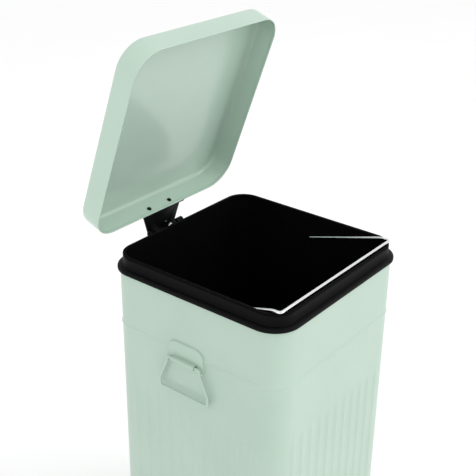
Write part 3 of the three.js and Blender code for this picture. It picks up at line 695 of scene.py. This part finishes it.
# %% Bail wire and its bosses
bail_low, bail_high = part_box("bucket_bail")
bail_radius = 2 * MM
bail_front, bail_level = bail_low.y + bail_radius, bail_high.z - bail_radius
pivot_z = bail_low.z + bail_radius
arm_x = mouth_half - 5.7 * MM
right_side = [(bail_high.x, 0, pivot_z), (arm_x, 0, pivot_z),
              (arm_x, bail_front + 12 * MM, bail_level), (arm_x, bail_front, bail_level)]
bail_corners = right_side + [(-x, y, z) for x, y, z in reversed(right_side)]
bail_bends = [r * MM for r in (0, 2.6, 22, 6, 6, 22, 2.6, 0)]
bail = wire("bucket_bail_wire", bend_route(bail_corners, bail_bends, 10), bail_radius)
fit_in(bail, "bucket_handle", "bright_steel", bail_steel, "bucket_bail")

pivot_wall = wall_at(pivot_z)[0] - wall
for side, label in ((-1, "left"), (1, "right")):
    hole, rim = bail_radius + 0.4 * MM, 7 * MM
    ring = [(hole, 2.9 * MM), (hole, 0.5 * MM), (hole + 0.4 * MM, 0), (rim - 0.7 * MM, 0),
            (rim - 0.15 * MM, 0.2 * MM), (rim, 0.8 * MM), (rim + 0.5 * MM, 2.0 * MM),
            (rim + 1.2 * MM, 2.9 * MM)]
    outlines = [[Vector((r * math.cos(a), r * math.sin(a), -z)) for a in
                 (2 * math.pi * k / 40 for k in range(40))] for r, z in ring]
    boss = make_object(f"bail_boss_{label}", *loft(outlines, closed=True), sharp=45)
    point_along(boss, (-side, 0, 0), (side * (pivot_wall - 2 * MM), 0, pivot_z))
    fit_in(boss, "bucket", "black_plastic", bucket_plastic)

# %% [markdown]
# ## Side handles
# A pressed plate is fixed to the body just below the top ring. Its middle is rolled out into a channel
# round the handle wire. The plate is a rounded sheet and the channel a half-round strip with its two
# legs, so each is lofted along the bin's side; the wire is a closed loop that narrows to the top.

# %% Handle plate, channel and wire for each side
plate_low, plate_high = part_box("handle_plate_left")
grip_low, grip_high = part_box("handle_bail_left")
grip_x, grip_y = (grip_low.x + grip_high.x) / 2, (plate_low.y + plate_high.y) / 2
grip_z = grip_high.z - 2 * MM
plate_sheet = 1.2 * MM
plate_back = plate_high.x


def plate_outline(inset=0.0, steps=9):
    """The plate's outline as (y, z), with full shoulders above and tight corners below."""
    half_y = (plate_high.y - plate_low.y) / 2 - inset
    low, high = plate_low.z + inset, plate_high.z - inset
    points = []
    for cy, cz, radius, first in ((half_y, high, 14, 0), (-half_y, high, 14, 1), (-half_y, low, 4, 2),
                                  (half_y, low, 4, 3)):
        r = radius * MM - inset
        centre = Vector((cy - math.copysign(r, cy), cz - r if first < 2 else cz + r))
        for k in range(steps):
            a = (first + k / (steps - 1)) * math.pi / 2
            points.append(centre + Vector((r * math.cos(a), r * math.sin(a))))
    return points


def handle_plate_mesh(name):
    """A sheet whose rim is turned back to the body, lofted through its thickness."""
    levels = [(-0.7, -1.4), (-0.4, -1.1), (-0.1, -0.5), (0, 0.2), (0.12, 0.7), (0.4, 1.0), (0.9, 1.2)]
    outlines = []
    for inset, depth in levels:
        outline = plate_outline(inset * MM)
        outlines.append([Vector((plate_back - depth * MM, grip_y + y, z)) for y, z in outline])
    return make_object(name, *loft(outlines), sharp=40)


def channel_mesh(name):
    """The rolled strip round the wire: legs against the plate, then most of a circle."""
    inner_r, leg_x = 2.4 * MM, plate_back - plate_sheet + 0.2 * MM
    outer_r = inner_r + plate_sheet
    section = []
    for radius, order in ((outer_r, range(17)), (inner_r, range(16, -1, -1))):
        arc = [Vector((grip_x - radius * math.sin(a), grip_z + radius * math.cos(a)))
               for a in (math.pi * k / 16 for k in order)]
        leg_top = Vector((leg_x, grip_z + radius))
        leg_low = Vector((leg_x, grip_z - radius))
        section += [leg_top] + arc + [leg_low] if radius == outer_r else [leg_low] + arc + [leg_top]
    outlines = []
    for along in (-20, -19.75, 19.75, 20):
        shrink = 0.94 if abs(along) == 20 else 1
        middle = sum(section, Vector((0, 0))) / len(section)
        ring = [middle + (p - middle) * shrink for p in section]
        outlines.append([Vector((p.x, grip_y + along * MM, p.y)) for p in ring])
    verts = [p for outline in outlines for p in outline]
    count = len(section)
    faces = []
    for near in (0, count, 2 * count):
        far = near + count
        faces += [(near + i, near + (i + 1) % count, far + (i + 1) % count, far + i) for i in range(count)]
    half = count // 2
    for first in (0, 3 * count):
        last = first + count - 1
        faces += [(first + i, first + i + 1, last - 1 - i, last - i) for i in range(half - 1)]
    return make_object(name, verts, faces, sharp=40)


def grip_wire(name):
    top, bottom = 29 * MM, grip_high.y - grip_y - 2 * MM
    right = [(0, 0), (top, 0), (top, -7), (bottom, -37), (bottom, -52)]
    right = [(y, grip_z + (z * MM)) for y, z in right]
    corners = [Vector((grip_x, grip_y + y, z)) for y, z in right]
    corners += [Vector((grip_x, grip_y - y, z)) for y, z in reversed(right[1:])]
    corners.append(Vector((grip_x, grip_y - 0.6 * MM, grip_z)))
    corners[0].y += 0.6 * MM
    return wire(name, bend_route(corners, [5 * MM] * len(corners), 9), 2 * MM)


for label, turn in (("left", 0), ("right", math.pi)):
    to_grip = Matrix.Translation((0, grip_y, 0))
    about = to_grip @ Matrix.Rotation(turn, 4, "Z") @ to_grip.inverted()
    plate, channel = handle_plate_mesh(f"handle_plate_{label}_sheet"), channel_mesh(f"handle_channel_{label}")
    grip = grip_wire(f"handle_wire_{label}")
    for piece in (plate, channel, grip):
        piece.data.transform(about)
    fit_in(plate, "frame", "paint", body_paint, f"handle_plate_{label}")
    fit_in(channel, "frame", "paint", body_paint)
    fit_in(grip, f"{label}_handle", "paint", wire_paint, f"handle_bail_{label}")

# %% [markdown]
# ## Hinge, screws and damper
# The hinge is black coated stampings on a coated pin. The stampings come from CAD with their edges
# broken, as a press leaves them. Screws are turned, then their cross recess is cut with a boolean.

# %% Cutting one mesh from another
def cut_away(obj, cutter):
    modifier = obj.modifiers.new("cut", "BOOLEAN")
    modifier.object, modifier.solver = cutter, "EXACT"
    graph = bpy.context.evaluated_depsgraph_get()
    mesh = bpy.data.meshes.new_from_object(obj.evaluated_get(graph))
    obj.modifiers.clear()
    obj.data = mesh
    bpy.data.objects.remove(cutter)
    if not mesh.polygons:
        raise RuntimeError(f"{obj.name}: the cut left nothing")
    mesh.set_sharp_from_angle(angle=math.radians(32))
    return obj


def cross_recess(width, depth, top):
    """A tapered cross, as one closed cutter."""
    half = 0.21 * width
    arm = [(width, -half), (width, half), (half, half)]
    levels = []
    for share, z in ((0.62, top - depth), (1, top + depth)):
        turns = [Matrix.Rotation(k * math.pi / 2, 3, "Z") for k in range(4)]
        levels.append([turn @ Vector((x * share, y * share, z)) for turn in turns for x, y in arm])
    return make_object("recess", *loft(levels))


def pan_screw(name, place, direction, head_radius=3.6 * MM, head=2 * MM):
    r, h = head_radius, head
    shank, below = 1.9 * MM, -2.0 * MM
    profile = [(0, below), (shank, below), (shank, 0), (0.97 * r, 0), (r, 0.12 * h), (r, 0.42 * h),
               (0.95 * r, 0.62 * h), (0.83 * r, 0.82 * h), (0.62 * r, 0.95 * h), (0.35 * r, h), (0, h)]
    screw = turned(name, profile, sides=36)
    screw = cut_away(screw, cross_recess(0.58 * r, 1.3 * MM, h))
    return point_along(screw, direction, place)


def outward_screw(node, material, slot, head=2 * MM):
    """A screw facing +Y on the frame, at the place of its CAD node."""
    low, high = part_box(node)
    place = ((low.x + high.x) / 2, high.y - head, (low.z + high.z) / 2)
    screw = pan_screw(f"{node}_pan_head", place, (0, 1, 0))
    return fit_in(screw, "frame", slot, material, node)


for number in range(1, 5):
    outward_screw(f"hinge_base_screw_{number}", zinc, "bright_steel")
    outward_screw(f"cover_screw_{number}", zinc, "bright_steel")

lid_rear_face = lid_half_y + lid_mid_y
for number, x in ((1, -22 * MM), (2, 22 * MM)):
    inner_face = lid_rear_face - pan_sheet - 0.3 * MM
    screw = pan_screw(f"lid_screw_{number}_pan_head", (x, inner_face, lid_rim_z + 10.4 * MM), (0, -1, 0),
                      3.4 * MM, 1.6 * MM)
    screw.data.transform(opening_turn)
    fit_in(screw, "lid", "black_steel", hinge_steel, f"lid_screw_{number}")

# %% Hinge stampings, pin and damper
for node in ("lid_bracket", "hinge_base"):
    dress(node, hinge_steel, 0.45 * MM, 3)

pin_length = hinge_high.x - hinge_low.x
pin_profile = [(0, 0), (1.9 * MM, 0), (2.5 * MM, 0.6 * MM), (2.5 * MM, pin_length - 0.6 * MM),
               (1.9 * MM, pin_length), (0, pin_length)]
pin = point_along(turned("hinge_pin_rod", pin_profile), (1, 0, 0), (hinge_low.x, pin_centre.y, pin_centre.z))
fit_in(pin, "lid", "black_steel", hinge_steel, "hinge_pin")
dress("lid_damper", base_plastic, 0.7 * MM, 3)

# %% [markdown]
# ## Push rod and its cover
# The rod is a plated wire with both ends hooked. It runs up the back under a folded steel cover, so
# the cover is one folded outline: two flanges, two walls, and a back with soft bends.

# %% Rod, cover and guide
rod_low, rod_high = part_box("push_rod")
cover_low, cover_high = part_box("rod_cover")
rod_radius = 2.5 * MM
rod_y = (rod_low.y + rod_high.y) / 2
rod_corners = [(rod_low.x + 12 * MM, rod_y, rod_high.z - rod_radius), (0, rod_y, rod_high.z - rod_radius),
               (0, rod_y, rod_low.z + rod_radius), (rod_high.x, rod_y, rod_low.z + rod_radius)]
rod = wire("push_rod_wire", bend_route(rod_corners, [0, 3.2 * MM, 3.2 * MM, 0], 8), rod_radius)
fit_in(rod, "rod", "bright_steel", rod_steel, "push_rod")


def cover_outline():
    back, depth, half, wide, t = cover_low.y, cover_high.y - cover_low.y, 14 * MM, 10 * MM, 1.2 * MM
    right = [(half + wide, back), (half + wide, back + t), (half, back + t), (half, back + depth)]
    right += [(half - t, back + depth - t), (half - t, back)]
    outside = right[:4] + [(-x, y) for x, y in reversed(right[:4])]
    inner, inner_depth = half - t, back + depth - t
    inside = [(-inner, back), (-inner, inner_depth), (inner, inner_depth), (inner, back)]
    radii = [v * MM for v in (0.3, 0.3, 1.0, 4.5, 4.5, 1.0, 0.3, 0.3, 1.6, 3.3, 3.3, 1.6)]
    return fillet_profile(outside + inside, radii, steps=6)


def extrude(name, outline, low, high, sharp=35):
    """A straight prism with plain ends, from a level outline that may be hollow-backed."""
    count = len(outline)
    verts = [Vector((x, y, z)) for z in (low, high) for x, y in outline]
    faces = [(i, (i + 1) % count, count + (i + 1) % count, count + i) for i in range(count)]
    faces += [tuple(range(count)), tuple(range(count, 2 * count))]
    return make_object(name, verts, faces, sharp)


cover = extrude("rod_cover_folded", cover_outline(), cover_low.z, cover_high.z)
fit_in(cover, "frame", "paint", body_paint, "rod_cover")
round_edges(cover, 0.3 * MM, 2, 50)
dress("rod_guide", base_plastic, 0.5 * MM, 2)

# %% [markdown]
# ## Base
# The base is a moulded ring pressed up inside the body, a plate inside it and four rubber feet. The
# ring is lofted like the top one, then the pedal's and the lever's slots are cut through its wall.

# %% Base ring, plate and feet
base_low, base_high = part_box("base_ring")
base_half = base_high.x
base_top = body_low.z - 0.3 * MM
base_inner = base_half - 2.5 * MM
spigot_out, spigot_in = body_half - sheet - 0.3 * MM, body_half - sheet - 2 * MM
base_profile = fillet_profile([
    (base_half, base_low.z), (base_half, base_top), (spigot_out, base_top), (spigot_out, base_high.z),
    (spigot_in, base_high.z), (spigot_in, base_top - 2.5 * MM), (base_inner, base_top - 4 * MM),
    (base_inner, base_low.z),
], [v * MM for v in (0.6, 1.8, 0.1, 0.5, 0.5, 1, 1, 0.5)], steps=5)
base_levels = [square_outline(h, z, 14) for h, z in base_profile]
base_ring = make_object("base_ring_moulded", *loft(base_levels, closed=True), sharp=45)


def slot_cutter(low, high):
    mesh = bpy.data.meshes.new("slot")
    pieces = bmesh.new()
    size, middle = Vector(high) - Vector(low), (Vector(high) + Vector(low)) / 2
    bmesh.ops.create_cube(pieces, size=1, matrix=Matrix.Translation(middle) @ Matrix.Diagonal((*size, 1)))
    upright = [e for e in pieces.edges if abs((e.verts[0].co - e.verts[1].co).normalized().y) > 0.9]
    bmesh.ops.bevel(pieces, geom=upright, offset=2.2 * MM, segments=5, profile=0.5, affect="EDGES")
    pieces.to_mesh(mesh)
    pieces.free()
    cutter = bpy.data.objects.new("slot", mesh)
    bpy.context.scene.collection.objects.link(cutter)
    return cutter


pedal_slot, rear_slot = 12 * MM, 14.5 * MM
slot_low, past = 4.3 * MM, 1 * MM
cut_away(base_ring, slot_cutter((-pedal_slot, -base_half - past, slot_low),
                                (pedal_slot, -base_inner + past, base_top - 5 * MM)))
cut_away(base_ring, slot_cutter((-rear_slot, base_inner - past, slot_low),
                                (rear_slot, base_half + past, base_top - 2.5 * MM)))
fit_in(base_ring, "frame", "black_plastic", base_plastic, "base_ring")
dress("lever_housing", base_plastic, 0.8 * MM, 3)
dress("base_plate", base_plastic, 0.5 * MM, 2)

for number in range(1, 5):
    low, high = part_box(f"rubber_foot_{number}")
    radius, thick = (high.x - low.x) / 2, high.z - low.z
    profile = [(0, thick), (radius, thick), (radius, 0.9 * MM), (radius - 0.3 * MM, 0.3 * MM),
               (radius - 1.0 * MM, 0)]
    for groove in (9, 6, 3):
        profile += [((groove + 0.9) * MM, 0), ((groove + 0.5) * MM, 0.45 * MM),
                    ((groove - 0.5) * MM, 0.45 * MM), ((groove - 0.9) * MM, 0)]
    foot = turned(f"rubber_foot_{number}_ringed", profile + [(0, 0)], sides=40)
    foot.data.transform(Matrix.Translation(((low.x + high.x) / 2, (low.y + high.y) / 2, low.z)))
    fit_in(foot, "frame", "rubber", rubber, f"rubber_foot_{number}")

# %% [markdown]
# ## Pedal
# The pedal's pad is a soft-edged moulding with ribs across it for grip, on a channel lever of coated
# steel. Pad and ribs are short lofts with rounded upper edges, laid level and then tilted together.

# %% Pad with its ribs
tilt = math.radians(2.65)
pivot_low, pivot_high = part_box("pivot_pin")
pedal_pivot = Vector((0, (pivot_low.y + pivot_high.y) / 2, (pivot_low.z + pivot_high.z) / 2))


def pedal_pad_mesh():
    half_x, half_y, corner, thick = 35 * MM, 22 * MM, 8 * MM, 6 * MM
    middle_y, low = -(body_half + 6 * MM + 44 * MM + pedal_pivot.y) + half_y, -0.2 * MM
    levels = [(1.2, 0), (0.3, 0.3), (0, 1.0), (0, 3.6), (0.15, 4.4), (0.6, 5.1), (1.4, 5.55), (2.6, 5.7)]
    outlines = [rounded_outline(half_x - i * MM, half_y - i * MM, corner - i * MM, low + z * MM, 8, 6)
                for i, z in levels]
    pad = make_object("pedal_pad_body", *loft(outlines), sharp=50)
    pad.data.transform(Matrix.Translation((0, middle_y, 0)))
    ribs = []
    for k in range(-3, 4):
        rib_levels = [(0, 5.2), (0, 5.75), (0.25, 5.95), (0.6, 6.0)]
        rib = [rounded_outline(27 * MM - i * MM, 1.3 * MM - i * MM, 1.25 * MM - i * MM, low + z * MM, 5, 2)
               for i, z in rib_levels]
        piece = make_object(f"pedal_rib_{k + 4}", *loft(rib), sharp=50)
        piece.data.transform(Matrix.Translation((0, middle_y + k * 4.6 * MM, 0)))
        ribs.append(piece)
    return pad, ribs


pad, ribs = pedal_pad_mesh()
into_place = Matrix.Translation(pedal_pivot) @ Matrix.Rotation(tilt, 4, "X")
for piece in (pad, *ribs):
    piece.data.transform(into_place)
fit_in(pad, "pedal", "black_plastic", ring_plastic, "pedal_pad")
for piece in ribs:
    fit_in(piece, "pedal", "rubber", rubber)
dress("pedal_lever", hinge_steel, 0.4 * MM, 2)
dress("pivot_bracket", zinc, 0.3 * MM, 2)
dress("pivot_pin", zinc, 0.3 * MM, 2)
dress("pin_clip", zinc, 0.2 * MM, 2)

# %% [markdown]
# ## Floor, light and camera
# The bin stands on a plain white floor. A white world fills the shadows; one large soft light from the
# front right gives the faces their different tones, and a smaller one on the left lifts the side.

# %% Floor
def white_floor():
    finish = Finish("white floor", IOR=1.45, Specular_IOR_Level=0.1)
    mottle = finish.noise(3, 3)
    tone = finish.mix(mottle, (0.94, 0.94, 0.94, 1), (0.96, 0.96, 0.96, 1))
    material = finish.feed(Base_Color=tone, Roughness=0.8 + 0.1 * mottle)
    size = 6
    verts = [(-size, -size, 0), (size, -size, 0), (size, size, 0), (-size, size, 0)]
    floor = make_object("floor", [Vector(v) for v in verts], [(0, 1, 2, 3)])
    floor.data.materials.append(material)
    floor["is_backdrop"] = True
    return floor


white_floor()

# %% World and lights
world = bpy.data.worlds.new("soft white room")
bpy.context.scene.world = world
world.use_nodes = True
background = world.node_tree.nodes["Background"]
background.inputs["Color"].default_value = (1, 1, 1, 1)
background.inputs["Strength"].default_value = 1.0


def soft_light(name, place, target, size, power):
    light = bpy.data.lights.new(name, "AREA")
    light.shape = "SQUARE"
    light.size = size
    light.energy = power
    obj = bpy.data.objects.new(name, light)
    bpy.context.scene.collection.objects.link(obj)
    obj.location = place
    obj.rotation_euler = (Vector(target) - Vector(place)).to_track_quat("-Z", "Y").to_euler()
    return obj


middle = (cad_low + cad_high) / 2
soft_light("front light", (1.2, -2.6, 2.4), middle, 2.2, 38)
soft_light("left light", (-2.6, -0.4, 1.6), middle, 1.6, 10)
bpy.context.scene.view_settings.view_transform = "Standard"

# %% Camera
azimuth, elevation, roll = math.radians(-52.0), math.radians(25.93), math.radians(0.78)
back = Vector((math.sin(azimuth) * math.cos(elevation), -math.cos(azimuth) * math.cos(elevation),
               math.sin(elevation)))
right = Vector((math.cos(azimuth), math.sin(azimuth), 0))
up = back.cross(right)
right, up = (right * math.cos(roll) + up * math.sin(roll), -right * math.sin(roll) + up * math.cos(roll))
lens = bpy.data.cameras.new("camera")
lens.sensor_width, lens.lens = 36, 70.82
camera = bpy.data.objects.new("camera", lens)
bpy.context.scene.collection.objects.link(camera)
facing = Matrix((right, up, back)).transposed().to_4x4()
camera.matrix_world = Matrix.Translation((-0.9425, -0.7014, 1.1808)) @ facing
bpy.context.scene.camera = camera
print("camera at", tuple(round(v, 3) for v in camera.location))

# %% Compare the finished size with the frame, and finish
visual_low, visual_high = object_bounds()
growth = zip(cad_low - visual_low, visual_high - cad_high)
print("grown by", [round(max(a, b) / MM, 2) for a, b in growth], "mm")
